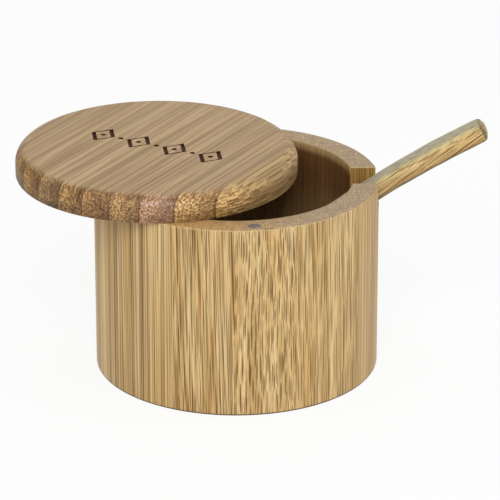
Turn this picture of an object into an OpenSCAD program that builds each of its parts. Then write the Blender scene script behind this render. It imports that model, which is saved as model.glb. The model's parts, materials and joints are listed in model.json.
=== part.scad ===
// Round bamboo salt box with a lid that swivels on an upright pin, and a spoon in a notch in the rim.
// The origin is the middle of the underside, +Z is up and +X runs through the spoon notch.

/* [Box] */
// Outer diameter of the box
box_d = 88.9; // [75:0.1:110]
// Height of the box, up to its rim
box_h = 61.5; // [50:0.5:80]
// Thickness of the wall
wall_t = 8; // [7:0.5:10]
// Thickness of the floor
floor_t = 8; // [5:0.5:12]
// Radius of the cove where the wall meets the floor, inside
cove_r = 3; // [1:0.25:3.25]
// Radius of the sanded edges of the rim
rim_edge_r = 0.4; // [0.2:0.1:0.8]
// Radius of the sanded edge round the underside
foot_edge_r = 0.6; // [0.2:0.1:1]

/* [Lid] */
// Distance by which the lid's edge stands in from the outside of the box
lid_inset = 0.35; // [0:0.05:1]
// Thickness of the lid
lid_t = 8.4; // [7.5:0.1:12]
// Radius that rounds the top edge of the lid
lid_round_r = 4.4; // [2:0.1:5]
// Radius of the sanded lower edge of the lid
lid_edge_r = 0.3; // [0.1:0.1:0.6]
// Width of one bamboo strip of the lid
strip_w = 9; // [7:0.25:14]
// Angle by which the lid stands open
lid_open = 36.6; // [0:0.2:262]

/* [Pivot pin] */
// Direction of the pin, seen from above, turned from the spoon notch
pivot_angle = 95.2; // [80:0.2:100]
// Diameter of the pin
pin_d = 4; // [3:0.1:4.5]
// Length of the pin inside the lid
pin_in_lid = 6; // [4:0.25:6.5]
// Length of the pin inside the box
pin_in_box = 14; // [8:0.5:24]
// Clearance round the pin in the box, on the radius
pin_clearance = 0.06; // [0.02:0.01:0.1]
// Gap below the pin, so that the lid lies on the rim
pin_end_gap = 0.5; // [0.3:0.1:1]
// Chamfer on the ends of the pin
pin_chamfer = 0.4; // [0.2:0.1:0.6]

/* [Magnets] */
// Diameter of a magnet
magnet_d = 4.3; // [3:0.1:5]
// Thickness of a magnet
magnet_t = 3; // [2:0.25:4]
// Depth of a magnet's face below the wood
magnet_recess = 0.1; // [0.05:0.05:0.3]
// Distance from the outside of the wall to the middle of a magnet
magnet_in = 3.4; // [3:0.1:4]
// Turn of the magnets from the place opposite the pin
magnet_turn = 0.9; // [-4:0.1:4]

/* [Spoon] */
// Width of the spoon notch in the rim
notch_w = 14.2; // [12.5:0.1:18]
// Radius in the lower corners of the notch
notch_corner_r = 1; // [0.25:0.25:2]
// Width of the spoon's handle
handle_w = 9; // [8:0.1:10.5]
// Thickness of the spoon's handle and bowl
handle_t = 6.2; // [5.5:0.1:7.5]
// Radius along the edges of the handle
handle_edge_r = 2.4; // [1:0.1:2.6]
// Radius round the end of the handle
handle_end_r = 2.1; // [0.6:0.1:2.3]
// Radius of the long bend that runs down the whole handle
handle_bend_r = 317; // [220:1:600]
// Length of handle outside the box, along its bend
handle_out = 36.4; // [25:0.2:50]
// Width of the spoon's bowl
bowl_w = 21; // [17:0.5:24]
// Length of the spoon's bowl
bowl_len = 36; // [28:0.5:42]
// Length of the neck between the bowl and the handle
neck_len = 14; // [8:0.5:20]
// Angle by which the neck turns up from the bowl
neck_bend = 20.6; // [12:0.2:26]
// Depth of the bowl's hollow
hollow_depth = 3.4; // [2:0.1:4]
// Width of wood left round the hollow
hollow_margin = 3.4; // [2.6:0.1:5]
// Height by which the handle stays below the closed lid
lid_clearance = 1; // [0.6:0.05:1.4]
// Gap at the places where the spoon rests
rest_gap = 0.3; // [0.2:0.05:0.5]

/* [Ornament] */
// Number of lozenges in the burnt row on the lid
lozenge_n = 4; // [1:1:5]
// Distance from one lozenge to the next
lozenge_pitch = 13; // [11:0.25:15]
// Width of a lozenge
lozenge_w = 8.6; // [6:0.2:10]
// Height of a lozenge
lozenge_h = 11.6; // [8:0.2:16]
// Width of the thin strokes
thin_stroke = 0.6; // [0.4:0.05:1]
// Width of the thick strokes
thick_stroke = 1.3; // [0.6:0.05:1.6]
// Diameter of the dots
dot_d = 1.7; // [1:0.1:2.4]
// Depth of the burnt lines
burn_depth = 0.4; // [0.2:0.05:0.8]

/* [Hidden] */
$fn = 96;
// Cuts reach past a face by this much
cut_past = 1;
// Number of slices along the spoon's tip, bowl, neck, bent handle and rounded end
tip_steps = 6;
bowl_steps = 7;
neck_steps = 14;
handle_steps = 12;
end_steps = 4;
// Number of steps round one edge of a slice, and across the hollow
edge_steps = 6;
hollow_steps = 14;
box_r = box_d / 2;
cavity_r = box_r - wall_t;
// The pin stands in the middle of the wall, and the magnets across the box from it
pivot_r = box_r - wall_t / 2;
pivot = pivot_r * [cos(pivot_angle), sin(pivot_angle), 0];
magnet_r = box_r - magnet_in;
magnet_angle = pivot_angle + 180 + magnet_turn;
lid_r = box_r - lid_inset;
// The strips are counted from the glue joint in the middle of the lid
strips_a_side = round(lid_r / strip_w);
half_t = handle_t / 2;
handle_y = notch_w / 2 - rest_gap - handle_w / 2;
bowl_mid = (bowl_len - handle_t) / 2;
bowl_end = bowl_len - half_t;
neck_end = bowl_end + neck_len;
// Seen from the side, the bowl is straight, the neck turns up and the handle bends back down round
// bend_mid, which is measured from the middle of the tip
neck_r = neck_len / (neck_bend * PI / 180);
bend_mid = [bowl_end, neck_r] + (neck_r + handle_bend_r) * [sin(neck_bend), -cos(neck_bend)];
// The tip lies just off the far wall and the floor, and the spoon is tilted up round it until the
// top of its handle passes under the closed lid at rim_point
tip = [half_t + rest_gap - cavity_r, floor_t + rest_gap + half_t];
rim_point = [box_r, box_h - lid_clearance];
tip_to_rim = rim_point - tip;
bend_angle = atan2(tip_to_rim.y, tip_to_rim.x) - acos(
    (tip_to_rim * tip_to_rim + bend_mid * bend_mid - pow(handle_bend_r + half_t, 2))
        / (2 * norm(tip_to_rim) * norm(bend_mid)));
tilt = bend_angle - atan2(bend_mid.y, bend_mid.x);
bend = tip + norm(bend_mid) * [cos(bend_angle), sin(bend_angle)];
rim_slope = atan2(rim_point.y - bend.y, rim_point.x - bend.x) - 90;
spoon_end = neck_end + handle_bend_r * (neck_bend + tilt - rim_slope) * PI / 180 + handle_out;
// The floor of the notch runs just below the handle and along it, at this slope and height in the
// middle of the wall
notch_bend_r = handle_bend_r - half_t - rest_gap;
notch_slope = asin((bend.x - pivot_r) / notch_bend_r);
notch_z = bend.y + notch_bend_r * cos(notch_slope);

function strip_name(side, k) = str("lid_strip_", side < 0 ? "left_" : "right_", k);

// What a sanded or rounded edge takes off a square corner that points to +X and +Y
module corner_waste(r) {
    translate([-r, -r]) difference() {
        square(r + cut_past);
        circle(r);
    }
}

// Half section of the cup: a blank with its inside and its sharp edges taken off
module cup_section() {
    difference() {
        square([box_r, box_h]);
        difference() {
            translate([-cut_past, floor_t]) square([cavity_r + cut_past, box_h]);
            translate([cavity_r, floor_t]) mirror([0, 1]) corner_waste(cove_r);
        }
        translate([box_r, box_h]) corner_waste(rim_edge_r);
        translate([cavity_r, box_h]) mirror([1, 0]) corner_waste(rim_edge_r);
        translate([box_r, 0]) mirror([0, 1]) corner_waste(foot_edge_r);
    }
}

// The notch's outline, seen along its slope, with its floor at 0 and open upwards past the rim
module notch_outline() {
    difference() {
        translate([-notch_w / 2, 0]) square([notch_w, box_h - notch_z + wall_t]);
        for (side = [0, 1]) mirror([side, 0])
            translate([notch_w / 2, 0]) mirror([0, 1]) corner_waste(notch_corner_r);
    }
}

module spoon_notch() {
    translate([pivot_r, 0, notch_z]) rotate([0, -notch_slope, 0]) rotate([90, 0, 90])
        translate([0, 0, -2 * wall_t]) linear_extrude(4 * wall_t) notch_outline();
}

// A blind hole upwards from a face at the origin
module blind_hole(d, depth) {
    translate([0, 0, -cut_past]) cylinder(d = d, h = depth + cut_past);
}

// Puts a piece of the closed box where the magnets meet, at a height
module at_magnet(z) {
    rotate([0, 0, magnet_angle]) translate([magnet_r, 0, z]) children();
}

module box_body() {
    color("burlywood") difference() {
        rotate_extrude() cup_section();
        spoon_notch();
        translate([pivot.x, pivot.y, box_h]) mirror([0, 0, 1])
            blind_hole(pin_d + 2 * pin_clearance, pin_in_box + pin_end_gap);
        at_magnet(box_h) mirror([0, 0, 1]) blind_hole(magnet_d, magnet_t + magnet_recess);
    }
}

module magnet() {
    color("slategray") cylinder(d = magnet_d, h = magnet_t);
}

module rim_magnet() {
    at_magnet(box_h - magnet_recess - magnet_t) magnet();
}

// Swings a piece of the closed lid, made with its underside at 0, to where the lid stands open
module swung_open() {
    translate([pivot.x, pivot.y, box_h]) rotate([0, 0, -lid_open]) translate(-pivot) children();
}

module lid_magnet() {
    swung_open() at_magnet(magnet_recess) magnet();
}

module pivot_pin() {
    pin_len = pin_in_box + pin_in_lid;
    tip_r = pin_d / 2 - pin_chamfer;
    color("silver") swung_open() translate([pivot.x, pivot.y, -pin_in_box]) {
        cylinder(r1 = tip_r, r2 = pin_d / 2, h = pin_chamfer);
        translate([0, 0, pin_chamfer]) cylinder(d = pin_d, h = pin_len - 2 * pin_chamfer);
        translate([0, 0, pin_len - pin_chamfer]) cylinder(r1 = pin_d / 2, r2 = tip_r, h = pin_chamfer);
    }
}

module lid_section() {
    difference() {
        square([lid_r, lid_t]);
        translate([lid_r, lid_t]) corner_waste(lid_round_r);
        translate([lid_r, 0]) mirror([0, 1]) corner_waste(lid_edge_r);
    }
}

// A lozenge whose falling and rising sides are moved inwards by these widths
module lozenge(falling, rising) {
    side = norm([lozenge_w, lozenge_h]);
    half = lozenge_w * lozenge_h / (2 * side);
    polygon([for (s = [[1, -1], [1, 1], [-1, 1], [-1, -1]])
        let (p = s[0] * (half - falling), q = s[1] * (half - rising))
        side / 2 * [(p - q) / lozenge_h, (p + q) / lozenge_w]
    ]);
}

// A row of lozenges across the grain, of thin and thick strokes, with dots in and between them
module ornament() {
    for (i = [0:lozenge_n - 1]) translate([(i - (lozenge_n - 1) / 2) * lozenge_pitch, 0]) {
        difference() {
            lozenge(0, 0);
            lozenge(thick_stroke, thin_stroke);
        }
        circle(d = dot_d);
        if (i > 0) translate([-lozenge_pitch / 2, 0]) circle(d = dot_d);
    }
}

// The strips and the ornament run square to the line from the middle of the lid to its pin
module square_to_pin() {
    rotate([0, 0, pivot_angle - 90]) children();
}

module lid_blank() {
    difference() {
        rotate_extrude() lid_section();
        translate(pivot) blind_hole(pin_d, pin_in_lid);
        at_magnet(0) blind_hole(magnet_d, magnet_t + magnet_recess);
        square_to_pin() translate([0, 0, lid_t - burn_depth])
            linear_extrude(burn_depth + cut_past) ornament();
    }
}

// Strip k to the left or right of the middle joint; the outermost one takes what is left of the disc
module lid_strip(side, k) {
    near = (k - 1) * strip_w;
    far = k == strips_a_side ? box_d : k * strip_w;
    tones = ["tan", "wheat", "peru"];
    color(tones[k % len(tones)]) swung_open() intersection() {
        lid_blank();
        square_to_pin() mirror([side < 0 ? 1 : 0, 0, 0])
            translate([near, -box_d, -cut_past]) cube([far - near, 2 * box_d, lid_t + 2 * cut_past]);
    }
}

// Place, height and slope of the spoon's middle line at a length along it from the middle of its tip
function middle_line(along) =
    along < bowl_end ? [along, 0, 0]
    : along < neck_end ?
        let (slope = neck_bend * (along - bowl_end) / neck_len)
        [bowl_end + neck_r * sin(slope), neck_r * (1 - cos(slope)), slope]
    :
        let (slope = neck_bend - (along - neck_end) / handle_bend_r * 180 / PI)
        [bend_mid.x - handle_bend_r * sin(slope), bend_mid.y + handle_bend_r * cos(slope), slope];

// Half the width of the bowl between its tip and its widest part
function bowl_half_w(along) = bowl_w / 2 * sqrt(1 - pow((along - bowl_mid) / (bowl_mid + half_t), 2));

// The slices that the spoon is drawn through. Each one is its length along the spoon, half its
// width, half its thickness and the radius of its edges
slices = concat(
    [for (i = [0:tip_steps - 1])
        let (turn = 90 * (i + 0.25) / tip_steps, along = -half_t * cos(turn))
        [along, bowl_half_w(along), half_t * sin(turn), half_t]],
    [for (i = [0:bowl_steps - 1])
        let (along = bowl_mid * i / bowl_steps)
        [along, bowl_half_w(along), half_t, half_t]],
    [for (i = [0:neck_steps])
        let (share = i / neck_steps, extra_w = (bowl_w - handle_w) * (1 + cos(180 * share)) / 4)
        [bowl_mid + (neck_end - bowl_mid) * share, handle_w / 2 + extra_w, half_t,
            half_t + (handle_edge_r - half_t) * share]],
    [for (i = [1:handle_steps])
        let (length = spoon_end - handle_end_r - neck_end)
        [neck_end + length * i / handle_steps, handle_w / 2, half_t, handle_edge_r]],
    [for (i = [1:end_steps])
        let (turn = 90 * i / end_steps, inset = handle_end_r * (1 - cos(turn)))
        [spoon_end - handle_end_r * (1 - sin(turn)), handle_w / 2 - inset, half_t - inset,
            max(handle_edge_r - inset, 0.1)]]
);

// The outline of a slice, anticlockwise from its right side, with the bowl's hollow in its top
function outline(slice) =
    let (
        edge_r = min(slice[3], 0.97 * min(slice[1], slice[2])),
        flat = [slice[1] - edge_r, slice[2] - edge_r],
        place = (slice[0] - bowl_mid) / (bowl_len / 2 - hollow_margin),
        share = sqrt(max(0, 1 - place * place)),
        hollow_w = flat.x * min(0.97, max(0.2, (bowl_w / 2 - hollow_margin) * share / flat.x))
    )
    concat(
        edge(flat, edge_r, 0),
        [for (i = [0:hollow_steps])
            let (across = 1 - 2 * i / hollow_steps)
            [hollow_w * across, slice[2] - hollow_depth * share * sqrt(1 - across * across)]],
        edge([-flat.x, flat.y], edge_r, 90),
        edge(-flat, edge_r, 180),
        edge([flat.x, -flat.y], edge_r, 270)
    );

function edge(middle, r, from) = [for (i = [0:edge_steps])
    let (turn = from + 90 * i / edge_steps)
    middle + r * [cos(turn), sin(turn)]];

// The spoon before it is tilted, with the top of its bowl up
module level_spoon() {
    points = [for (slice = slices)
        let (at = middle_line(slice[0]))
        for (p = outline(slice)) [at[0] - p.y * sin(at[2]), p.x, at[1] + p.y * cos(at[2])]];
    round_n = len(outline(slices[0]));
    last = len(slices) - 1;
    polyhedron(points, concat(
        [[for (j = [0:round_n - 1]) j]],
        [for (i = [0:last - 1], j = [0:round_n - 1], half = [0, 1])
            let (a = i * round_n + j, b = i * round_n + (j + 1) % round_n)
            half == 0 ? [a, a + round_n, b + round_n] : [a, b + round_n, b]],
        [[for (j = [round_n - 1:-1:0]) last * round_n + j]]
    ));
}

module spoon() {
    color("khaki") translate([tip.x, handle_y, tip.y]) rotate([0, -tilt, 0]) level_spoon();
}

box_body();
rim_magnet();
pivot_pin();
lid_magnet();
spoon();
for (side = [-1, 1], k = [1:strips_a_side])
    lid_strip(side, k);
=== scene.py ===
import bpy
import bmesh
import json
import math
from functools import partial
from mathutils import Euler, Matrix, Vector, noise


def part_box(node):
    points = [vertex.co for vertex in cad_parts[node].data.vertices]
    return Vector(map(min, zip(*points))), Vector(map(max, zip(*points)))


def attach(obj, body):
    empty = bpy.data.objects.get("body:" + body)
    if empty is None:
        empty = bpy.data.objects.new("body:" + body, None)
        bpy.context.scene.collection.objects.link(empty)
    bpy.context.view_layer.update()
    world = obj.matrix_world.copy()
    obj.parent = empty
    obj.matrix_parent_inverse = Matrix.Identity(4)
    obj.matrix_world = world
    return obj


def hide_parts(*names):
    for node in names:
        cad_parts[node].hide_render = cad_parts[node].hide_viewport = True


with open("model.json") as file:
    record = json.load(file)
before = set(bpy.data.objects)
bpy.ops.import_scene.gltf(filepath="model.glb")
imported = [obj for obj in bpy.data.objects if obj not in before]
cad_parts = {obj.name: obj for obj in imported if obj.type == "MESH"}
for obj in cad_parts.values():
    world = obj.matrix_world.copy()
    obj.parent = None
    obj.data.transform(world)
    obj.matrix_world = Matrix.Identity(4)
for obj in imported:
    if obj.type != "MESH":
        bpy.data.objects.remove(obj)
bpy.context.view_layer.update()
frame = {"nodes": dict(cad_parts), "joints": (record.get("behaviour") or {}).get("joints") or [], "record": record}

mm = 0.001
smoothAngle = 32  # degrees; an edge that turns further than this stays sharp
cutterReach = 1 * mm  # how far a cutter stands out of the face that it cuts
hitWithin = 0.01 * mm  # how close a point has to lie to a level to be picked
lidJoint = next(joint for joint in frame["joints"] if joint["name"] == "lid_swivel")
lidStripNames = [name for name in frame["nodes"] if name.startswith("lid_strip_")]


# Helpers for modelling

def deselectAll():
    bpy.ops.object.select_all(action="DESELECT")


def makeActive(piece):
    deselectAll()
    piece.select_set(True)
    bpy.context.view_layer.objects.active = piece


def openForEditing(piece, selectMode):
    makeActive(piece)
    bpy.ops.object.mode_set(mode="EDIT")
    bpy.ops.mesh.select_mode(type=selectMode)
    bpy.ops.mesh.select_all(action="DESELECT")


def closeEditing():
    bpy.ops.object.mode_set(mode="OBJECT")


def pickFaces(piece, test):
    # test gets a face's middle and normal
    mesh = bmesh.from_edit_mesh(piece.data)
    for face in mesh.faces:
        face.select_set(test(face.calc_center_median(), face.normal))
    bmesh.update_edit_mesh(piece.data)


def pickEdges(piece, test):
    # test gets the two ends of an edge
    mesh = bmesh.from_edit_mesh(piece.data)
    for edge in mesh.edges:
        edge.select_set(test(edge.verts[0].co, edge.verts[1].co))
    bmesh.update_edit_mesh(piece.data)


def useModifier(piece, kind, settings):
    makeActive(piece)
    modifier = piece.modifiers.new(kind.title(), kind)
    for name, value in settings.items():
        setattr(modifier, name, value)
    bpy.ops.object.modifier_apply(modifier=modifier.name)


def cutOut(piece, cutter):
    useModifier(piece, "BOOLEAN", {"operation": "DIFFERENCE", "solver": "EXACT", "object": cutter})
    bpy.data.objects.remove(cutter)


def drill(piece, at, diameter, depth, sides=64):
    # A blind hole that starts at a point on a flat face; a negative depth goes upwards
    reach = cutterReach if depth > 0 else -cutterReach
    deselectAll()
    bpy.ops.mesh.primitive_cylinder_add(
        vertices=sides, radius=diameter / 2, depth=abs(depth) + abs(reach),
        location=(at[0], at[1], at[2] + reach / 2 - depth / 2))
    cutter = bpy.context.object
    settle(cutter)
    cutOut(piece, cutter)


def settle(piece):
    # The place goes into the mesh, and the object itself stands at the origin
    makeActive(piece)
    bpy.ops.object.transform_apply(location=True, rotation=True, scale=True)


def smoothShade(piece, degrees=smoothAngle):
    makeActive(piece)
    bpy.ops.object.shade_smooth_by_angle(angle=math.radians(degrees))


def dress(piece, material, body, slotName, *nodes):
    piece.data.materials.clear()
    piece.data.materials.append(material)
    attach(piece, body)
    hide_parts(*nodes)


# Helpers for materials

def linear(hexColour):
    # sRGB hex to the linear colour that nodes take
    parts = [int(hexColour[i:i + 2], 16) / 255 for i in (1, 3, 5)]
    return [p / 12.92 if p <= 0.04045 else ((p + 0.055) / 1.055) ** 2.4 for p in parts] + [1]


def addNode(tree, kind, settings=None, inputs=None):
    # Inputs are given by name, or in their order. A node is linked from its first output, a socket is
    # linked as it is, and a colour in hex becomes linear
    node = tree.nodes.new("ShaderNode" + kind)
    for name, value in (settings or {}).items():
        setattr(node, name, value)
    named = inputs if isinstance(inputs, dict) else dict(enumerate(inputs or ()))
    for name, value in named.items():
        if isinstance(value, bpy.types.Node):
            value = value.outputs[0]
        if isinstance(value, bpy.types.NodeSocket):
            tree.links.new(value, node.inputs[name])
        else:
            node.inputs[name].default_value = linear(value) if isinstance(value, str) else value
    return node


# Settings of the nodes that repeat

smoothStep = {"interpolation_type": "SMOOTHSTEP"}  # inputs: value, from, to, and what it becomes there
times = {"operation": "MULTIPLY"}
timesPlus = {"operation": "MULTIPLY_ADD"}
minus = {"operation": "SUBTRACT"}
over = {"operation": "DIVIDE"}
largest = {"operation": "MAXIMUM"}
isAbove = {"operation": "GREATER_THAN"}
pingPong = {"operation": "PINGPONG"}
wholePart = {"operation": "FLOOR"}
scaled = {"operation": "SCALE"}


def newMaterial(name):
    # The material, and addNode with the material's own tree filled in
    material = bpy.data.materials.new(name)
    material.use_nodes = True
    material.node_tree.nodes.clear()
    return material, partial(addNode, material.node_tree)


# Camera

view = {
    "azimuth": -1.43, "elevation": 22.86, "distance": 1131.2 * mm, "aimHeight": 30 * mm,
    "turnLeft": -0.215, "tiltUp": 0.314, "roll": -0.117,  # degrees, small framing offsets
    "lens": 258.7, "sensor": 36,  # mm
    "nearest": 0.05, "furthest": 50,
}


def makeCamera():
    azimuth, elevation = math.radians(view["azimuth"]), math.radians(view["elevation"])
    back = Vector((
        math.sin(azimuth) * math.cos(elevation),
        -math.cos(azimuth) * math.cos(elevation),
        math.sin(elevation)))
    data = bpy.data.cameras.new("photoCamera")
    camera = bpy.data.objects.new("photoCamera", data)
    bpy.context.scene.collection.objects.link(camera)
    aim = (-back).to_track_quat("-Z", "Y").to_matrix()
    nudge = Euler([math.radians(view[key]) for key in ("tiltUp", "turnLeft", "roll")], "YXZ").to_matrix()
    camera.matrix_world = Matrix.Translation(
        Vector((0, 0, view["aimHeight"])) + back * view["distance"]) @ (aim @ nudge).to_4x4()
    data.lens = view["lens"]
    data.sensor_width = view["sensor"]
    data.clip_start, data.clip_end = view["nearest"], view["furthest"]
    bpy.context.scene.camera = camera


makeCamera()
print("camera placed")


# Floor, surroundings and lamps

studio = {
    "floorSize": 8, "floorColour": "#FCFCFA", "floorGlow": 0.88,
    "surroundStrength": 0.38,
    "lamps": {
        "softboxFront": {"at": (-0.2, -1.5, 1.25), "size": 0.9, "watts": 21},
        "softboxRight": {"at": (1.3, -0.7, 0.8), "size": 0.8, "watts": 4},
        "softboxTop": {"at": (-0.15, 0.35, 1.5), "size": 1.0, "watts": 3},
    },
}


def seenAsBackground(add):
    # 1 where the camera looks at it directly, in a reflection or through something clear
    rays = add("LightPath")
    seen = add("Math", largest, (rays.outputs["Is Camera Ray"], rays.outputs["Is Glossy Ray"]))
    return add("Math", largest, (seen, rays.outputs["Is Transmission Ray"]))


def makeFloor():
    deselectAll()
    bpy.ops.mesh.primitive_plane_add(size=studio["floorSize"])
    floor = bpy.context.object
    floor.name = "paperFloor"
    material, add = newMaterial("whitePaper")
    # Seen as background it is nearly white, and still takes the soft shadow
    glow = add("Math", times, (seenAsBackground(add), studio["floorGlow"]))
    paper = add("BsdfDiffuse", None, {"Color": studio["floorColour"]})
    white = add("Emission", None, {"Color": "#FFFFFF", "Strength": 1})
    mixed = add("MixShader", None, (glow, paper, white))
    add("OutputMaterial", None, {"Surface": mixed})
    floor.data.materials.append(material)


def makeSurroundings():
    world = bpy.data.worlds.new("whiteStudio")
    bpy.context.scene.world = world
    world.use_nodes = True
    world.node_tree.nodes.clear()
    add = partial(addNode, world.node_tree)
    strength = add("MapRange", None, {
        "Value": seenAsBackground(add), "To Min": studio["surroundStrength"], "To Max": 1})
    light = add("Background", None, {"Color": "#FFFFFF", "Strength": strength})
    add("OutputWorld", None, {"Surface": light})


def makeLamps():
    for name, lamp in studio["lamps"].items():
        data = bpy.data.lights.new(name, "AREA")
        data.size = lamp["size"]
        data.energy = lamp["watts"]
        holder = bpy.data.objects.new(name, data)
        bpy.context.scene.collection.objects.link(holder)
        holder.location = lamp["at"]
        holder.rotation_euler = (-Vector(lamp["at"])).to_track_quat("-Z", "Y").to_euler()


makeFloor()
makeSurroundings()
makeLamps()
bpy.context.scene.view_settings.view_transform = "Standard"
print("floor and lamps placed")


# Box: one cup turned from a block of laminated bamboo

cup = {
    "wall": 8 * mm, "floor": 8 * mm, "cove": 3 * mm, "sides": 288,
    "rimEdge": 0.4 * mm, "footEdge": 0.6 * mm, "coveSteps": 8, "rimSteps": 3, "footSteps": 4,
    "notchWidth": 14.2 * mm, "notchCorner": 1 * mm, "cornerSteps": 5,
    "notchEdge": 0.35 * mm, "edgeSteps": 3, "edgeAngle": 50,  # degrees; sharper turns are sanded
    "pinBore": 4.12 * mm, "pinDepth": 14.5 * mm,
}

# Side view of the spoon: a straight bowl, a neck that turns up and a handle that bends back down

spoonCurve = {
    "lidClearance": 1 * mm, "restGap": 0.3 * mm, "handleThick": 6.2 * mm, "handleWide": 9 * mm,
    "bowlLong": 36 * mm, "neckLong": 14 * mm, "neckBend": 20.6,  # degrees
    "handleBend": 317 * mm, "handleOut": 36.4 * mm,
}


def spoonSideView():
    # The tip just clears the far wall and the floor, and the handle's top passes just under the shut lid.
    # First the middle line of a spoon that lies flat, then the tilt that brings it to those places
    low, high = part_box("box_body")
    radius, height = (high.y - low.y) / 2, high.z
    half, bendRadius = spoonCurve["handleThick"] / 2, spoonCurve["handleBend"]
    turn = math.radians(spoonCurve["neckBend"])
    bowlEnd = spoonCurve["bowlLong"] - half
    neckEnd = bowlEnd + spoonCurve["neckLong"]
    neckRadius = spoonCurve["neckLong"] / turn
    towardsBend = Vector((math.sin(turn), -math.cos(turn)))
    bendMiddle = Vector((bowlEnd, neckRadius)) + (neckRadius + bendRadius) * towardsBend
    tip = Vector((
        half + spoonCurve["restGap"] - radius + cup["wall"],
        cup["floor"] + spoonCurve["restGap"] + half))
    rim = Vector((radius, height - spoonCurve["lidClearance"]))
    reach = rim - tip
    topRadius = bendRadius + half
    aim = math.atan2(reach.y, reach.x) - math.acos(
        (reach.length_squared + bendMiddle.length_squared - topRadius ** 2)
        / (2 * reach.length * bendMiddle.length))
    tilt = aim - math.atan2(bendMiddle.y, bendMiddle.x)
    bend = tip + bendMiddle.length * Vector((math.cos(aim), math.sin(aim)))
    rimSlope = math.atan2(rim.y - bend.y, rim.x - bend.x) - math.pi / 2
    length = neckEnd + bendRadius * (turn + tilt - rimSlope) + spoonCurve["handleOut"]
    notchRadius = bendRadius - half - spoonCurve["restGap"]
    wallMiddle = radius - cup["wall"] / 2
    notchSlope = math.asin((bend.x - wallMiddle) / notchRadius)
    notchFloor = Vector((wallMiddle, 0, bend.y + notchRadius * math.cos(notchSlope)))

    def middleLine(along):
        # Place, height and slope at a length along the spoon from the middle of its tip
        if along < bowlEnd:
            x, z, slope = along, 0, 0
        elif along < neckEnd:
            slope = turn * (along - bowlEnd) / spoonCurve["neckLong"]
            x, z = bowlEnd + neckRadius * math.sin(slope), neckRadius * (1 - math.cos(slope))
        else:
            slope = turn - (along - neckEnd) / bendRadius
            x, z = bendMiddle.x - bendRadius * math.sin(slope), bendMiddle.y + bendRadius * math.cos(slope)
        return (tip.x + x * math.cos(tilt) - z * math.sin(tilt),
                tip.y + x * math.sin(tilt) + z * math.cos(tilt), slope + tilt)

    return middleLine, neckEnd, length, notchFloor, notchSlope


spoonLine, spoonNeckEnd, spoonLength, notchFloor, notchSlope = spoonSideView()


def makeCup():
    low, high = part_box("box_body")
    radius, height = (high.y - low.y) / 2, high.z
    inside = radius - cup["wall"]
    deselectAll()
    bpy.ops.mesh.primitive_cylinder_add(
        vertices=cup["sides"], radius=radius, depth=height, location=(0, 0, height / 2))
    piece = bpy.context.object
    piece.name = "turnedCup"
    settle(piece)
    openForEditing(piece, "FACE")
    pickFaces(piece, lambda middle, normal: normal.z > 0.9)
    bpy.ops.mesh.inset(thickness=cup["wall"])
    bpy.ops.mesh.extrude_region_move(TRANSFORM_OT_translate={"value": (0, 0, cup["floor"] - height)})
    bpy.ops.mesh.select_mode(type="EDGE")

    def ringAt(distance, level):
        return lambda a, b: all(
            abs(math.hypot(p.x, p.y) - distance) < hitWithin and abs(p.z - level) < hitWithin
            for p in (a, b))

    for distance, level, offset, steps in (
            (inside, cup["floor"], cup["cove"], cup["coveSteps"]),
            (inside, height, cup["rimEdge"], cup["rimSteps"]),
            (radius, height, cup["rimEdge"], cup["rimSteps"]),
            (radius, 0, cup["footEdge"], cup["footSteps"])):
        pickEdges(piece, ringAt(distance, level))
        bpy.ops.mesh.bevel(offset=offset, segments=steps, profile=0.5, affect="EDGES")
    closeEditing()

    # The spoon's notch, whose floor runs along the handle just below it. Its cutter is a block that
    # reaches well past the rim and both sides of the wall
    tall = 3 * cup["wall"]
    deselectAll()
    bpy.ops.mesh.primitive_cube_add(size=1, location=(0, 0, tall / 2))
    cutter = bpy.context.object
    bpy.ops.transform.resize(value=(4 * cup["wall"], cup["notchWidth"], tall))
    settle(cutter)
    openForEditing(cutter, "EDGE")
    pickEdges(cutter, lambda a, b: abs(a.x - b.x) > cup["wall"] and a.z + b.z < tall / 2)
    bpy.ops.mesh.bevel(offset=cup["notchCorner"], segments=cup["cornerSteps"], profile=0.5, affect="EDGES")
    closeEditing()
    cutter.data.transform(Matrix.Translation(notchFloor) @ Matrix.Rotation(-notchSlope, 4, "Y"))
    cutOut(piece, cutter)
    useModifier(piece, "BEVEL", {
        "width": cup["notchEdge"], "segments": cup["edgeSteps"], "limit_method": "ANGLE",
        "angle_limit": math.radians(cup["edgeAngle"]), "use_clamp_overlap": True, "harden_normals": False})
    pivot = lidJoint["pos_m"]
    drill(piece, (pivot[0], pivot[1], height), cup["pinBore"], cup["pinDepth"])
    magnetLow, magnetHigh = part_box("rim_magnet")
    magnetMiddle = (magnetLow + magnetHigh) / 2
    drill(piece, (magnetMiddle.x, magnetMiddle.y, height), magnetHigh.x - magnetLow.x, height - magnetLow.z)
    smoothShade(piece)
    return piece


cupPiece = makeCup()
print("cup turned:", len(cupPiece.data.polygons), "faces")


# Lid: a disc glued from ten bamboo strips, with a burnt row of lozenges

lid = {
    "sides": 288, "roundTop": 4.4 * mm, "topSteps": 14, "roundBottom": 0.3 * mm, "bottomSteps": 2,
    "stripWidth": 9 * mm, "stripsEachSide": 5,
    "pinBore": 4 * mm, "pinDepth": 6 * mm,
    "lozenges": 4, "pitch": 13 * mm, "lozengeWide": 8.6 * mm, "lozengeHigh": 11.6 * mm,
    "thinStroke": 0.6 * mm, "thickStroke": 1.3 * mm, "dot": 1.7 * mm, "dotSides": 32,
    "burnDepth": 0.4 * mm, "burnEdge": 0.15 * mm, "burnSteps": 2,
}


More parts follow.
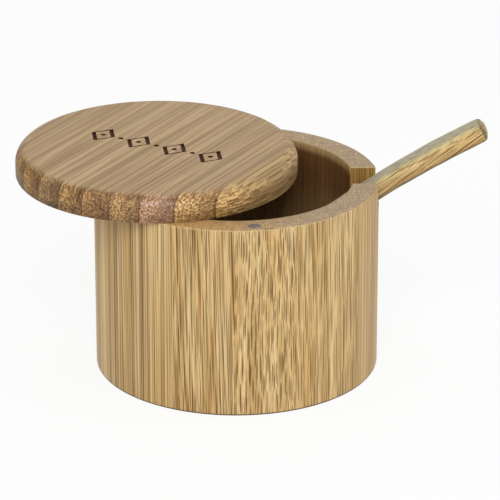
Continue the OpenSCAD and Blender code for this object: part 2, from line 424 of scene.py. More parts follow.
def lidFrame():
    # The lid's own frame: its middle at the underside, +Y to the pin
    lows, highs = zip(*(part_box(name) for name in lidStripNames))
    low = Vector([min(p[i] for p in lows) for i in range(3)])
    high = Vector([max(p[i] for p in highs) for i in range(3)])
    middle = (low + high) / 2
    pivot = Vector(lidJoint["pos_m"])
    angle = math.atan2(pivot.y - middle.y, pivot.x - middle.x) - math.pi / 2
    radius = ((high.x - low.x) + (high.y - low.y)) / 4
    place = Matrix.Translation((middle.x, middle.y, low.z)) @ Matrix.Rotation(angle, 4, "Z")
    return place, angle, radius, high.z - low.z


lidPlace, lidAngle, lidRadius, lidThick = lidFrame()


def lozengePrism(falling, rising, low, high):
    # A lozenge whose falling and rising sides are moved inwards, as a prism between two heights
    wide, tall = lid["lozengeWide"], lid["lozengeHigh"]
    side = math.hypot(wide, tall)
    half = wide * tall / (2 * side)
    deselectAll()
    bpy.ops.mesh.primitive_cylinder_add(
        vertices=4, radius=1, depth=high - low, location=(0, 0, (low + high) / 2))
    prism = bpy.context.object
    settle(prism)
    openForEditing(prism, "VERT")
    mesh = bmesh.from_edit_mesh(prism.data)
    for vertex in mesh.verts:
        onX = abs(vertex.co.x) > abs(vertex.co.y)
        end = 1 if (vertex.co.x if onX else vertex.co.y) > 0 else -1
        p, q = (end, -end) if onX else (end, end)
        p, q = p * (half - falling), q * (half - rising)
        vertex.co.x, vertex.co.y = side / 2 * (p - q) / tall, side / 2 * (p + q) / wide
    bmesh.update_edit_mesh(prism.data)
    closeEditing()
    return prism


def makeBurnCutter():
    # Everything that the burnt lines take out of the top of the lid
    low, high = lidThick - lid["burnDepth"], lidThick + cutterReach
    parts = []
    for i in range(lid["lozenges"]):
        x = (i - (lid["lozenges"] - 1) / 2) * lid["pitch"]
        ring = lozengePrism(0, 0, low, high)
        cutOut(ring, lozengePrism(
            lid["thickStroke"], lid["thinStroke"], low - cutterReach, high + cutterReach))
        ring.location.x = x
        settle(ring)
        parts.append(ring)
        for dotX in (x, x - lid["pitch"] / 2)[:2 if i else 1]:
            deselectAll()
            bpy.ops.mesh.primitive_cylinder_add(
                vertices=lid["dotSides"], radius=lid["dot"] / 2, depth=high - low,
                location=(dotX, 0, (low + high) / 2))
            settle(bpy.context.object)
            parts.append(bpy.context.object)
    deselectAll()
    for part in parts:
        part.select_set(True)
    bpy.context.view_layer.objects.active = parts[0]
    bpy.ops.object.join()
    cutter = bpy.context.object
    openForEditing(cutter, "EDGE")
    pickEdges(cutter, lambda a, b: a.z < lidThick and b.z < lidThick)
    bpy.ops.mesh.bevel(
        offset=lid["burnEdge"], segments=lid["burnSteps"], profile=0.5, affect="EDGES", clamp_overlap=True)
    closeEditing()
    return cutter


def makeLidStrips():
    deselectAll()
    bpy.ops.mesh.primitive_cylinder_add(
        vertices=lid["sides"], radius=lidRadius, depth=lidThick, location=(0, 0, lidThick / 2))
    disc = bpy.context.object
    settle(disc)
    openForEditing(disc, "EDGE")
    for level, offset, steps in (
            (lidThick, lid["roundTop"], lid["topSteps"]), (0, lid["roundBottom"], lid["bottomSteps"])):
        pickEdges(disc, lambda a, b: abs(a.z - level) < hitWithin and abs(b.z - level) < hitWithin)
        bpy.ops.mesh.bevel(offset=offset, segments=steps, profile=0.5, affect="EDGES")
    closeEditing()
    cutOut(disc, makeBurnCutter())
    toLid = lidPlace.inverted()
    pin = toLid @ Vector(lidJoint["pos_m"])
    drill(disc, (pin.x, pin.y, 0), lid["pinBore"], -lid["pinDepth"])
    magnetLow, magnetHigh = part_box("lid_magnet")
    magnetMiddle = toLid @ ((magnetLow + magnetHigh) / 2)
    drill(disc, (magnetMiddle.x, magnetMiddle.y, 0), magnetHigh.x - magnetLow.x,
          -(magnetHigh.z - lidPlace.translation.z))
    strips = {}
    for side in (-1, 1):
        for k in range(1, lid["stripsEachSide"] + 1):
            makeActive(disc)
            bpy.ops.object.duplicate()
            strip = bpy.context.object
            near, far = side * (k - 1) * lid["stripWidth"], side * k * lid["stripWidth"]
            cuts = [(near, -side)] if k == lid["stripsEachSide"] else [(near, -side), (far, side)]
            for x, outwards in cuts:
                openForEditing(strip, "FACE")
                bpy.ops.mesh.select_all(action="SELECT")
                bpy.ops.mesh.bisect(
                    plane_co=(x, 0, 0), plane_no=(outwards, 0, 0), use_fill=True, clear_outer=True)
                closeEditing()
            strip.data.transform(lidPlace)
            smoothShade(strip)
            name = "left" if side < 0 else "right"
            strip.name = f"lidStrip{name.title()}{k}"
            strips[f"{name}{k}"] = strip
    bpy.data.objects.remove(disc)
    return strips


lidStrips = makeLidStrips()
print("lid cut into", len(lidStrips), "strips")


# Spoon: whittled and sanded from one piece of bamboo

spoon = {
    "bowlWide": 21 * mm, "handleEdge": 2.4 * mm, "handleEnd": 2.1 * mm,
    "hollowDeep": 3.4 * mm, "hollowMargin": 2.8 * mm, "lip": 0.5 * mm, "lipReach": 0.6, "lipDrop": 0.25,
    "leastEdge": 0.05 * mm, "around": 96, "along": 190, "smoothAngle": 60,
    "gather": 0.8, "crowd": 0.06,  # shares: points gather at the section's corners, rings crowd at the ends
    "unevenness": 0.16 * mm, "waves": 9 * mm, "ripples": 3 * mm, "rippleShare": 0.35, "seed": 4,
}


def awayFromEllipse(x, y, halfLong, halfWide):
    # How far a point lies outside an ellipse round the origin
    if (x / halfLong) ** 2 + (y / halfWide) ** 2 <= 1:
        return 0
    angle = math.atan2(abs(y) * halfLong, abs(x) * halfWide)
    squares = halfLong ** 2 - halfWide ** 2
    # A few steps by slope and curve close in on the ellipse's nearest point
    for _ in range(6):
        cosine, sine = math.cos(angle), math.sin(angle)
        slope = squares * cosine * sine - abs(x) * halfLong * sine + abs(y) * halfWide * cosine
        curve = (squares * (cosine ** 2 - sine ** 2)
                 - abs(x) * halfLong * cosine - abs(y) * halfWide * sine)
        angle = min(max(angle - slope / curve, 0), math.pi / 2)
    return math.hypot(abs(x) - halfLong * math.cos(angle), abs(y) - halfWide * math.sin(angle))


def makeSpoon():
    halfThick, halfWide = spoonCurve["handleThick"] / 2, spoonCurve["handleWide"] / 2
    sideways = cup["notchWidth"] / 2 - spoonCurve["restGap"] - halfWide
    length, neckEnd = spoonLength, spoonNeckEnd
    bowlMiddle = spoonCurve["bowlLong"] / 2 - halfThick

    def halfWidth(u):
        if u <= bowlMiddle:
            share = max(0, 1 - ((u - bowlMiddle) / (bowlMiddle + halfThick)) ** 2)
            return spoon["bowlWide"] / 2 * math.sqrt(share)
        share = min(1, (u - bowlMiddle) / (neckEnd - bowlMiddle))
        wave = (1 + math.cos(math.pi * share)) / 2
        return halfWide + (spoon["bowlWide"] / 2 - halfWide) * wave

    def edgeRadius(u):
        share = min(1, max(0, (u - bowlMiddle) / (neckEnd - bowlMiddle)))
        return halfThick + (spoon["handleEdge"] - halfThick) * share

    def inset(u):
        # How far the rounded end of the handle stands in from its sides
        bend = spoon["handleEnd"]
        into = u - (length - bend)
        return 0 if into <= 0 else bend - math.sqrt(max(0, bend ** 2 - into ** 2))

    def surface(u, angle):
        # A point on a ring round the spoon at u: the section is a rectangle with round edges
        cosine, sine = math.cos(angle), math.sin(angle)
        if u < bowlMiddle:
            wide = halfWidth(u)
            y = wide * math.copysign(abs(cosine) ** spoon["gather"], cosine)
            beyond = awayFromEllipse(u - bowlMiddle, y, bowlMiddle, spoon["bowlWide"] / 2 - halfThick)
            z = math.copysign(math.sqrt(max(0, halfThick ** 2 - beyond ** 2)), sine)
            return y, z
        step = inset(u)
        wide, thick = halfWidth(u) - step, halfThick - step
        edge = max(spoon["leastEdge"], min(edgeRadius(u) - step, thick, wide))
        y = wide * math.copysign(abs(cosine) ** spoon["gather"], cosine)
        past = max(0, abs(y) - (wide - edge))
        z = thick - edge + math.sqrt(max(0, edge ** 2 - past ** 2))
        return y, math.copysign(z, sine)

    def hollowed(u, y, z):
        # The bowl's hollow, with a sanded lip
        a = spoonCurve["bowlLong"] / 2 - spoon["hollowMargin"]
        b = spoon["bowlWide"] / 2 - spoon["hollowMargin"]
        share = 1 - ((u - bowlMiddle) / a) ** 2 - (y / b) ** 2
        if z < 0 or share < -spoon["lipReach"]:
            return z
        floor = halfThick - spoon["hollowDeep"] * (math.sqrt(share) if share > 0 else share)
        soft = max(0, spoon["lip"] - abs(floor - z)) / spoon["lip"]
        return min(floor, z) - soft * soft * spoon["lip"] * spoon["lipDrop"]

    deselectAll()
    bpy.ops.mesh.primitive_cylinder_add(
        vertices=spoon["around"], radius=1, depth=1, end_fill_type="TRIFAN")
    piece = bpy.context.object
    piece.name = "carvedSpoon"
    openForEditing(piece, "EDGE")
    pickEdges(piece, lambda a, b: abs(a.z - b.z) > 0.5)
    bpy.ops.mesh.subdivide(number_cuts=spoon["along"] - 1)
    closeEditing()
    noise.seed_set(spoon["seed"])
    for vertex in piece.data.vertices:
        share = vertex.co.z + 0.5
        # Rings lie closer together at both ends
        start, end = -halfThick, length
        share = share - math.sin(2 * math.pi * share) * spoon["crowd"]
        u = start + (end - start) * share
        centre = math.hypot(vertex.co.x, vertex.co.y) < 0.5
        angle = math.atan2(vertex.co.y, vertex.co.x)
        y, z = surface(u, angle)
        if centre:
            y, z = 0, 0
        z = hollowed(u, y, z)
        if not centre:
            point = Vector((u, y, z))
            drift = noise.noise_vector(point / spoon["waves"])
            drift += spoon["rippleShare"] * noise.noise_vector(point / spoon["ripples"])
            y, z = y + drift.y * spoon["unevenness"], z + drift.z * spoon["unevenness"]
        x, height, slope = spoonLine(max(u, 0))
        x, height = x + min(u, 0) * math.cos(slope), height + min(u, 0) * math.sin(slope)
        vertex.co = (x - z * math.sin(slope), sideways + y, height + z * math.cos(slope))
    openForEditing(piece, "VERT")
    bpy.ops.mesh.select_all(action="SELECT")
    bpy.ops.mesh.remove_doubles(threshold=hitWithin)
    bpy.ops.mesh.normals_make_consistent(inside=False)
    closeEditing()
    smoothShade(piece, spoon["smoothAngle"])
    return piece


spoonPiece = makeSpoon()
print("spoon carved:", len(spoonPiece.data.polygons), "faces")


# Magnets: two nickel-plated discs

magnet = {"sides": 64, "edge": 0.15 * mm, "edgeSteps": 3}


def makeMagnet(node, name):
    low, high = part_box(node)
    deselectAll()
    bpy.ops.mesh.primitive_cylinder_add(
        vertices=magnet["sides"], radius=(high.x - low.x) / 2, depth=high.z - low.z,
        location=(low + high) / 2)
    piece = bpy.context.object
    piece.name = name
    settle(piece)
    openForEditing(piece, "EDGE")
    pickEdges(piece, lambda a, b: abs(a.z - b.z) < hitWithin)
    bpy.ops.mesh.bevel(offset=magnet["edge"], segments=magnet["edgeSteps"], profile=0.5, affect="EDGES")
    closeEditing()
    smoothShade(piece)
    return piece


rimMagnet = makeMagnet("rim_magnet", "rimMagnetDisc")
lidMagnet = makeMagnet("lid_magnet", "lidMagnetDisc")
print("magnets made")


# Bamboo: a grass without rings or knots. Dark fibre bundles run along it in a paler ground.
# Cut across it shows them as dots, cut along it as lines, and cut at a slant as short dashes

def slopeOf(degrees):
    return math.tan(math.radians(degrees))


bamboo = {
    "origin": (0, 0, 0), "seed": 0, "tilt": slopeOf(0.3), "lean": 0,  # the bundles' two slopes
    "wobble": 0.25, "dense": 0,  # mm, and share by which the bundles are thicker
    "ground": "#CDA96E", "pale": "#E0C28C", "flame": "#A87634", "fibre": "#64400C", "dot": "#301A06",
    "speckle": 0.9,  # mm, coarser than real, so that the end grain's dots show in the render
    "streaks": 0.3, "rough": 0.52, "gloss": 0.3, "relief": 0.03,  # relief in mm
    "polish": 0,  # how much less rough the end grain is
}

# What all bamboo shares: patches as mm across and along the grain, and the noise levels they fade between
stalk = {
    "drift": (7, 70), "band": (3.2, 110), "streak": (0.22, 45), "flame": (0.8, 40),
    "bandFade": (0.36, 0.64), "streakFade": (0.38, 0.62), "flameFade": (0.48, 0.68),
    "patchStep": (7.3, 3.1, 5.7),  # how far one seed's noise lies from the next one's
    "scatter": 0.85, "leastSize": 0.65, "sizeSpread": 0.7, "leastDark": 0.5, "darkSpread": 0.5,
    "denser": 0.45, "denseShade": 0.3,
    "fineSpacing": 0.6, "fineSize": 0.26, "fineShare": 0.6, "speckleSize": 0.3, "fineSoft": 0.06,
    "endGrainFade": (0.08, 0.5),  # how far the surface faces along the grain
    "streakDarkens": 0.6, "streakRough": 0.1, "bundleSink": -0.7, "bump": 0.5,
}


def grainFrame(add, look):
    # Millimetres across the grain in X and Y, and along it in Z
    coord = add("TexCoord")
    local = add("Mapping", {"vector_type": "TEXTURE"}, {
        "Vector": coord.outputs["Object"], "Location": look["origin"], "Rotation": look["turn"],
        "Scale": (mm, mm, mm)})
    return coord, local, add("SeparateXYZ", None, (local,))


def stretchedNoise(add, vector, patch, seed, detail=2):
    across, along = patch
    squeezed = add("Mapping", None, {
        "Vector": vector, "Location": [seed * step for step in stalk["patchStep"]],
        "Scale": (1 / across, 1 / across, 1 / along)})
    return add("TexNoise", None, {"Vector": squeezed, "Scale": 1, "Detail": detail})


def growBamboo(add, look, grain):
    # The colour of the wood, and the masks that its relief and gloss follow
    coord, local, split = grain
    x, y, z = split.outputs
    seed = look["seed"]
    leaning = add("CombineXYZ", None, (
        add("Math", timesPlus, (z, look["lean"], x)),
        add("Math", timesPlus, (z, look["tilt"], y)), z))
    drift = stretchedNoise(add, leaning, stalk["drift"], seed, 0)
    drifted = add("VectorMath", timesPlus, (
        drift.outputs["Color"], (look["wobble"], look["wobble"], 0), leaning))

    # Fibre bundles: coarse ones, fine ones between them, and the specks that only end grain shows.
    # Each has a size and a darkness of its own
    masks = []
    for spacing, size, soft in (
            (look["spacing"], look["size"], look["soft"]),
            (look["spacing"] * stalk["fineSpacing"], stalk["fineSize"], stalk["fineSoft"]),
            (look["speckle"], stalk["speckleSize"], stalk["fineSoft"])):
        cells = add("TexVoronoi", {"voronoi_dimensions": "2D"}, {
            "Vector": drifted, "Scale": 1 / spacing, "Randomness": stalk["scatter"]})
        chance = add("SeparateColor", None, (cells.outputs["Color"],))
        own = add("Math", timesPlus, (chance.outputs[0], stalk["sizeSpread"], stalk["leastSize"]))
        own = add("Math", times, (own, add("Math", timesPlus, (look["dense"], stalk["denser"], 1))))
        distance = add("Math", over, (cells.outputs["Distance"], own))
        mask = add("MapRange", smoothStep, (distance, size + soft, size - soft))
        dark = add("Math", timesPlus, (chance.outputs[1], stalk["darkSpread"], stalk["leastDark"]))
        masks.append(add("Math", times, (mask, dark)))
    coarse, fine, specks = masks
    fine = add("Math", times, (fine, stalk["fineShare"]))
    bundles = add("Math", largest, (coarse, fine))

    # Along the grain: broad bands, warm flames, fine streaks and the bundles as lines
    band, streak, flame = (
        add("MapRange", smoothStep, (
            stretchedNoise(add, vector, stalk[kind], seed + step), *stalk[kind + "Fade"]))
        for kind, vector, step in (("band", drifted, 1), ("streak", local, 2), ("flame", drifted, 3)))
    along = add("MixRGB", None, (band, look["ground"], look["pale"]))
    flame = add("Math", times, (flame, look["flames"]))
    along = add("MixRGB", None, (flame, along, look["flame"]))
    lines = add("Math", times, (bundles, look["lines"]))
    along = add("MixRGB", None, (lines, along, look["fibre"]))
    gain = add("Math", timesPlus, (streak, look["streaks"], 1 - stalk["streakDarkens"] * look["streaks"]))
    along = add("VectorMath", scaled, {0: along, "Scale": gain})

    # Across the grain: a duller ground with the bundles as dark dots
    across = add("MixRGB", None, (band, look["endGround"], look["endPale"]))
    shade = add("Math", times, (look["dense"], stalk["denseShade"]))
    across = add("MixRGB", None, (shade, across, look["dot"]))
    dots = add("Math", times, (add("Math", largest, (bundles, specks)), look["dots"]))
    across = add("MixRGB", None, (dots, across, look["dot"]))
    facing = add("VectorMath", {"operation": "DOT_PRODUCT"}, (
        coord.outputs["Normal"], Euler(look["turn"]).to_matrix() @ Vector((0, 0, 1))))
    facing = add("Math", {"operation": "ABSOLUTE"}, (facing.outputs["Value"],))
    endGrain = add("MapRange", smoothStep, (facing, *stalk["endGrainFade"]))
    colour = add("MixRGB", None, (endGrain, along, across))
    return {"colour": colour, "bundles": bundles, "streak": streak, "endGrain": endGrain, "band": band,
            "facing": facing}


def finishWood(add, look, colour, wood):
    # Sanded and oiled: a soft gloss, with the bundles standing a little below the ground
    rough = look["rough"] - stalk["streakRough"] / 2
    rough = add("Math", timesPlus, (wood["streak"], stalk["streakRough"], rough))
    rough = add("Math", timesPlus, (wood["endGrain"], -look["polish"], rough))
    height = add("Math", timesPlus, (wood["bundles"], stalk["bundleSink"], wood["streak"]))
    bump = add("Bump", None, {
        "Height": height, "Strength": stalk["bump"], "Distance": look["relief"] * mm})
    shader = add("BsdfPrincipled", None, {
        "Base Color": colour, "Roughness": rough, "Specular IOR Level": look["gloss"], "Normal": bump})
    add("OutputMaterial", None, {"Surface": shader})


# Laminated bamboo of the box: upright strips, each cut from another stalk and glued to a block. Turned
# on a lathe, it shows straight lines where a strip is cut along and dashes where it is cut at a slant

laminate = {
    "turn": (0, 0, math.radians(view["azimuth"])),  # the block's front faces the photo's camera
    "dot": "#3A2812", "dots": 0.6, "spacing": 0.56, "size": 0.31, "soft": 0.05,  # spacing in mm
    "strips": 6, "stripWidth": 18.95, "stripDepth": 20, "start": -57.65,  # mm, from left to right
    "tilts": (0.3, 0.2, 0.6, 2.4, 1.3, 0.3), "leans": (0, 0, 1.4, -0.6, -0.4, 0),  # degrees
    "stripLines": (0.75, 0.95, 1, 0.95, 0.85, 0.7), "stripFlames": (0.1, 0.2, 0.6, 0.25, 0.15, 0.1),
    "stalkShift": (40, 40, 300), "toneSpread": 0.1,  # mm, and share
    "rimGolden": "#C69E66", "rimGrey": "#B89F7C", "rimFade": (-12, 26), "rimPaler": 1.16,
    "glue": "#9C7848", "glueShare": 0.5, "glueFade": (0.16, 0.04),  # mm from the joint
    # The edge colour is a painted highlight along the rim's outer edge
    "edge": "#E4CDA0", "edgeShare": 0.6, "edgeFade": (0.6, 0.3),  # mm below the rim
    # The foot colour is painted shade round the lower edge of the cup
    "footShade": "#453625", "footShare": 0.9, "footFade": (0.85, 0.35), "footRing": (1.2, 0.6),  # mm
    # The inside colour is painted shade over the inner wall
    "inside": "#6A4626", "insideCalm": 0.5, "insideFade": (0.5, 0.2), "insideFrom": 1,  # mm
    "band": (0.6, 3.5, 0.3, 1), "deep": (8, 30, 0.9, 0.6),  # from and to in mm below the rim, and shares
    # The notch colour is painted shade on the notch's walls
    "notch": "#C8BC96", "notchFrom": 0.5, "notchBelow": 30,  # mm
    "notchBeside": (2.4, 1.6),  # mm, this wide because the grain is turned against the notch
    "notchOutside": (0.1, 0.4), "notchTop": (0.1, 0.5),  # mm
}


def makeLaminatedBamboo():
    look = {**bamboo, **laminate}
    material, add = newMaterial("laminatedBamboo")
    coord, local, split = grainFrame(add, look)
    x, y, z = split.outputs
    # Golden on the left of the rim, greyer on its right
    grey = add("MapRange", smoothStep, (x, *look["rimFade"]))
    look["endGround"] = add("MixRGB", None, (grey, look["rimGolden"], look["rimGrey"]))
    look["endPale"] = add("VectorMath", scaled, {0: look["endGround"], "Scale": look["rimPaler"]})

    # A colour ramp with constant steps holds four values for each strip. A colour isn't negative, so
    # the lean stands in it with a half added
    width = look["stripWidth"]
    place = add("Math", over, (add("Math", minus, (x, look["start"])), width))
    perStrip = add("ValToRGB", None, (add("Math", over, (place, look["strips"])),))
    steps = perStrip.color_ramp
    steps.interpolation = "CONSTANT"
    steps.elements.remove(steps.elements[1])
    for i in range(look["strips"]):
        step = steps.elements.new(i / look["strips"]) if i else steps.elements[0]
        step.color = (
            slopeOf(look["tilts"][i]), slopeOf(look["leans"][i]) + 0.5,
            look["stripLines"][i], look["stripFlames"][i])
    own = add("SeparateColor", None, (perStrip,))
    look["tilt"], look["lines"] = own.outputs[0], own.outputs[2]
    look["lean"] = add("Math", minus, (own.outputs[1], 0.5))
    look["flames"] = perStrip.outputs["Alpha"]

    # Each strip takes its grain from another place of the stalk
    column = add("Math", wholePart, (place,))
    row = add("Math", wholePart, (add("Math", over, (y, look["stripDepth"])),))
    block = add("CombineXYZ", None, (column, row))
    shift = add("TexWhiteNoise", {"noise_dimensions": "2D"}, {"Vector": block})
    moved = add("VectorMath", timesPlus, (shift.outputs["Color"], look["stalkShift"], local))
    wood = growBamboo(add, look, (coord, moved, add("SeparateXYZ", None, (moved,))))
    tone = add("Math", timesPlus, (
        shift.outputs["Value"], look["toneSpread"], 1 - look["toneSpread"] / 2))
    colour = add("VectorMath", scaled, {0: wood["colour"], "Scale": tone})

    # Glue joints, and a painted highlight along the rim's outer edge, where its rounding catches the light
    fromJoint = add("Math", pingPong, (add("Math", times, (place, width)), width / 2))
    glue = add("MapRange", smoothStep, (fromJoint, *look["glueFade"], 0, look["glueShare"]))
    colour = add("MixRGB", None, (glue, colour, look["glue"]))
    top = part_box("box_body")[1].z / mm
    below, above = (top - depth for depth in look["edgeFade"])
    edgeHighlight = add("Math", times, (
        add("MapRange", smoothStep, (z, below, above, 0, look["edgeShare"])),
        add("Math", minus, (1, wood["endGrain"]))))
    colour = add("MixRGB", None, (edgeHighlight, colour, look["edge"]))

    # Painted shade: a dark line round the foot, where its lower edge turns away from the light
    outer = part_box("box_body")[1].y / mm
    inner = outer - cup["wall"] / mm
    flat = add("VectorMath", times, (local, (1, 1, 0)))
    away = add("VectorMath", {"operation": "LENGTH"}, (flat,)).outputs["Value"]
    footShade = add("Math", times, (
        add("MapRange", smoothStep, (z, *look["footFade"], 0, look["footShare"])),
        add("MapRange", smoothStep, (away, *(outer - depth for depth in look["footRing"])))))
    colour = add("MixRGB", None, (footShade, colour, look["footShade"]))

    # Painted shade on the walls of the notch, where the spoon's handle shades them
    half = cup["notchWidth"] / mm / 2
    beside = add("Math", {"operation": "ABSOLUTE"}, (y,))
    notchShade = add("MapRange", smoothStep, (beside, *(half + more for more in look["notchBeside"])))
    for limit in (
            add("Math", isAbove, (x, inner - look["notchFrom"])),
            add("MapRange", smoothStep, (
                away, *(outer - depth for depth in look["notchOutside"]))),
            add("MapRange", smoothStep, (z, *(top - depth for depth in look["notchTop"]))),
            add("Math", isAbove, (z, top - look["notchBelow"]))):
        notchShade = add("Math", times, (notchShade, limit))
    colour = add("MixRGB", {"blend_type": "MULTIPLY"}, (notchShade, colour, look["notch"]))

    # Painted shade over the inside: faint just below the rim, strongest a few mm down and weaker deeper. The
    # pattern is calmer inside too
    within = add("Math", times, (
        add("MapRange", smoothStep, (away, *(inner + more for more in look["insideFade"]))),
        add("Math", isAbove, (z, look["insideFrom"]))))
    inside = within
    for start, end, least, most in (look["band"], look["deep"]):
        level = add("MapRange", smoothStep, (z, top - start, top - end, least, most))
        inside = add("Math", times, (inside, level))
    calm = add("Math", times, (within, look["insideCalm"]))
    calm = add("MixRGB", None, (calm, colour, look["ground"]))
    dark = add("MixRGB", {"blend_type": "MULTIPLY"}, (inside, calm, look["inside"]))
    finishWood(add, look, dark, wood)
    return material


# Strip bamboo of the lid: one look for each strip, by the tone and the dots that its end shows

lidWood = {
    "ground": "#B89A72", "pale": "#C6A87E", "fibre": "#664824", "flame": "#96744C",
    "lines": 0.55, "flames": 0.42, "streaks": 0.2, "wobble": 0.8, "size": 0.34, "soft": 0.07,
    "dots": 0.85, "speckle": 0.85,
    "denseFade": (0.15, 1),  # shares of the strip's width
    "seam": "#4E341E", "seamFade": (0.32, 0.08), "seamShare": 0.35, "seamAtEnd": 0.4,  # mm, and shares
    "shade": 0.35, "shadeHeight": 0.6,  # the lower edge, as a share of the lid's thickness
}
burnt = {
    "dark": "#331A0A", "edge": "#5E3A20", "darkShare": 0.7, "gloss": 0.05,
    "fade": (0.02, 0.08), "deepest": 1, "within": 38,  # mm below the top, and mm from the lid's middle
}
lidLooks = {
    "left5": {"endGround": "#A87C40", "endPale": "#C89A50", "spacing": 0.7},
    "left4": {"endGround": "#AA7E40", "endPale": "#CC9C50", "spacing": 0.7},
    "left3": {"endGround": "#AE7E40", "endPale": "#CE9C50", "spacing": 0.72},
    "left2": {"endGround": "#A47E54", "endPale": "#C8A06C", "spacing": 0.66},
    "left1": {"endGround": "#AE864E", "endPale": "#D6AA6E", "spacing": 0.9},
    "right1": {"endGround": "#AA7E50", "endPale": "#D0A46C", "spacing": 0.66, "dot": "#3A200C"},
    "right2": {"endGround": "#B88E5A", "endPale": "#DCB076", "spacing": 0.72, "dot": "#3E240E"},
    "right3": {"endGround": "#C0946C", "endPale": "#DEB08A", "spacing": 0.62, "dot": "#50301C",
               "polish": 0.34},
    "right4": {"endGround": "#D4A86C", "endPale": "#EAC084", "spacing": 0.8, "dot": "#50300C"},
    "right5": {"endGround": "#D4A868", "endPale": "#EAC080", "spacing": 0.86, "dot": "#50300C",
               "ground": "#AE9060", "pale": "#C4A672", "lines": 0.8},
}


def makeStripBamboo(key, seed):
    look = {**bamboo, **lidWood, **lidLooks[key], "seed": seed, "origin": tuple(lidPlace.translation),
            "turn": (math.radians(-90), 0, lidAngle)}
    material, add = newMaterial("stripBamboo" + key.title())
    grain = grainFrame(add, look)
    local = grain[1]
    x, down = grain[2].outputs[:2]
    # The bundles stand closer towards the side of the strip that was the outside of the stalk
    width, thick = lid["stripWidth"] / mm, lidThick / mm
    acrossStrip = add("Math", {"operation": "FRACT"}, (add("Math", over, (x, width)),))
    look["dense"] = add("MapRange", smoothStep, (acrossStrip, *look["denseFade"]))
    wood = growBamboo(add, look, grain)

    # A dark hair line at both glued sides of the strip, and painted shade along the lower edge
    fromJoint = add("Math", pingPong, (x, width))
    fromJoint = add("Math", {"operation": "MINIMUM"}, (fromJoint, add("Math", minus, (width, fromJoint))))
    seam = add("Math", times, (
        add("MapRange", smoothStep, (fromJoint, *look["seamFade"])),
        add("Math", timesPlus, (wood["endGrain"], look["seamAtEnd"], look["seamShare"]))))
    colour = add("MixRGB", None, (seam, wood["colour"], look["seam"]))
    upwards = add("Math", times, (down, -1))
    shaded = add("Math", times, (
        add("MapRange", smoothStep, (
            upwards, thick * look["shadeHeight"], 0, 0, look["shade"])), wood["endGrain"]))
    colour = add("MixRGB", None, (shaded, colour, look["dot"]))

    # The burnt lines: whatever lies just below the top face, inside the rounded edge
    flat = add("VectorMath", times, (local, (1, 0, 1)))
    away = add("VectorMath", {"operation": "LENGTH"}, (flat,)).outputs["Value"]
    burn = add("MapRange", smoothStep, (upwards, *(thick - depth for depth in burnt["fade"])))
    for limit in (
            add("Math", {"operation": "LESS_THAN"}, (away, burnt["within"])),
            add("Math", isAbove, (upwards, thick - burnt["deepest"]))):
        burn = add("Math", times, (burn, limit))
    scorched = add("MixRGB", None, (wood["band"], burnt["dark"], burnt["edge"]))
    scorched = add("MixRGB", None, (burnt["darkShare"], scorched, burnt["dark"]))
    colour = add("MixRGB", None, (burn, colour, scorched))
    look["gloss"] = add("MapRange", smoothStep, (burn, 0, 1, bamboo["gloss"], burnt["gloss"]))
    finishWood(add, look, colour, wood)
    return material


# Spoon bamboo: greenish grey where the skin side was planed off on top, golden at the sides

whittled = {
    "ground": "#CBAA6E", "pale": "#DCC088", "flame": "#A87040", "fibre": "#6E4C1E",
    "endGround": "#B8A274", "endPale": "#E2CE9E", "dot": "#4A3A1E", "dots": 0.8, "seed": 9,
    "spacing": 0.6, "size": 0.31, "soft": 0.05, "speckle": 1.1, "tilt": slopeOf(1.2), "lean": slopeOf(5),
    "lines": 1, "flames": 0.5, "streaks": 0.4, "grainAt": 0.7,  # grain runs as the handle does at this share
    "skin": "#B2AE94", "shoulder": "#CABE86", "skinFade": (0.8, 0.98),
    "topFade": (0.4, 0.85), "topShare": 0.85, "bundlesThrough": 0.5, "skinStreaks": 0.3,
    # The under colour is painted shade on the spoon's underside
    "under": "#5A4620", "underFade": (-0.15, -0.8), "underShare": 0.75,
    "cut": "#52421E", "cutFadeIn": (0.3, 0.55), "cutFadeOut": (0.95, 0.7), "cutShare": 0.6,
}


def makeSpoonBamboo():
    middleX, middleZ, slope = spoonLine(spoonLength * whittled["grainAt"])
    look = {**bamboo, **whittled, "origin": (middleX, 0, middleZ), "turn": (0, math.pi / 2 - slope, 0)}
    material, add = newMaterial("spoonBamboo")
    grain = grainFrame(add, look)
    wood = growBamboo(add, look, grain)
    facing = add("VectorMath", {"operation": "DOT_PRODUCT"}, (
        grain[0].outputs["Normal"], Vector((-math.sin(slope), 0, math.cos(slope))))).outputs["Value"]
    onTop = add("MapRange", smoothStep, (facing, *look["topFade"], 0, look["topShare"]))
    bare = add("Math", times, (wood["bundles"], look["bundlesThrough"]))
    onTop = add("Math", times, (onTop, add("Math", minus, (1, bare))))
    skin = add("MixRGB", None, (
        add("MapRange", smoothStep, (facing, *look["skinFade"])),
        look["shoulder"], look["skin"]))
    skin = add("VectorMath", scaled, {0: skin, "Scale": add("Math", timesPlus, (
        wood["streak"], look["skinStreaks"], 1 - look["skinStreaks"] / 2))})
    colour = add("MixRGB", None, (onTop, wood["colour"], skin))
    # Painted shade on the underside
    below = add("MapRange", smoothStep, (facing, *look["underFade"], 0, look["underShare"]))
    colour = add("MixRGB", None, (below, colour, look["under"]))
    # A dark line where the surface turns partly towards the grain, as round the end of the handle
    ring = add("Math", times, (
        add("MapRange", smoothStep, (wood["facing"], *look["cutFadeIn"])),
        add("MapRange", smoothStep, (wood["facing"], *look["cutFadeOut"]))))
    ring = add("Math", times, (ring, look["cutShare"]))
    colour = add("MixRGB", None, (ring, colour, look["cut"]))
    finishWood(add, look, colour, wood)
    return material


# Metal: a nickel-plated magnet, dulled by handling, and a ground steel pin

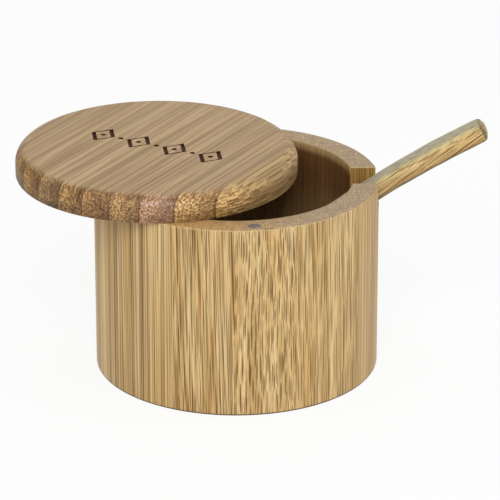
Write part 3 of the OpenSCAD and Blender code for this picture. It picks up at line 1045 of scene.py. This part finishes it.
metal = {
    "nickel": "#8E8680", "nickelDark": "#6E6762", "nickelRough": (0.5, 0.38), "nickelMetallic": 0.85,
    "cloud": 1.11 * mm, "grit": 0.167 * mm,
    "steel": "#B4B3B0", "steelRough": (0.22, 0.36), "ring": 0.0625 * mm, "ringDrift": 3.33 * mm,
    "fade": (0.3, 0.7), "bump": 0.3, "relief": 0.01 * mm,
}


def makeNickel():
    material, add = newMaterial("nickelPlate")
    coord = add("TexCoord")
    cloud, grit = (
        add("TexNoise", None, {
            "Vector": coord.outputs["Object"], "Scale": 1 / size, "Detail": detail})
        for size, detail in ((metal["cloud"], 3), (metal["grit"], 2)))
    clear = add("MapRange", smoothStep, (cloud, *metal["fade"]))
    rough = add("MapRange", smoothStep, (cloud, *metal["fade"], *metal["nickelRough"]))
    bump = add("Bump", None, {"Height": grit, "Strength": metal["bump"], "Distance": metal["relief"]})
    shader = add("BsdfPrincipled", None, {
        "Base Color": add("MixRGB", None, (clear, metal["nickelDark"], metal["nickel"])),
        "Metallic": metal["nickelMetallic"], "Roughness": rough, "Normal": bump})
    add("OutputMaterial", None, {"Surface": shader})
    return material


def makeGroundSteel():
    # Fine rings round the pin from centreless grinding
    material, add = newMaterial("groundSteel")
    coord = add("TexCoord")
    rings = add("Mapping", None, {
        "Vector": coord.outputs["Object"],
        "Scale": (1 / metal["ringDrift"], 1 / metal["ringDrift"], 1 / metal["ring"])})
    grinding = add("TexNoise", None, {"Vector": rings, "Scale": 1, "Detail": 3})
    rough = add("MapRange", smoothStep, (grinding, *metal["fade"], *metal["steelRough"]))
    bump = add("Bump", None, {"Height": grinding, "Strength": metal["bump"], "Distance": metal["relief"]})
    shader = add("BsdfPrincipled", None, {
        "Base Color": metal["steel"], "Metallic": 1, "Roughness": rough, "Normal": bump})
    add("OutputMaterial", None, {"Surface": shader})
    return material


nickel = makeNickel()
dress(cupPiece, makeLaminatedBamboo(), "box", "box_bamboo", "box_body")
for seed, (key, strip) in enumerate(lidStrips.items()):
    node = f"lid_strip_{key[:-1]}_{key[-1]}"
    slotName = next(part["material_slot"] for part in frame["record"]["subparts"] if part["node"] == node)
    dress(strip, makeStripBamboo(key, seed + 1), "lid", slotName, node)
dress(spoonPiece, makeSpoonBamboo(), "spoon", "spoon_bamboo", "spoon")
dress(rimMagnet, nickel, "box", "magnet_nickel", "rim_magnet")
dress(lidMagnet, nickel, "lid", "magnet_nickel", "lid_magnet")
frame["nodes"]["pivot_pin"].data.materials.clear()
frame["nodes"]["pivot_pin"].data.materials.append(makeGroundSteel())
print("materials made")
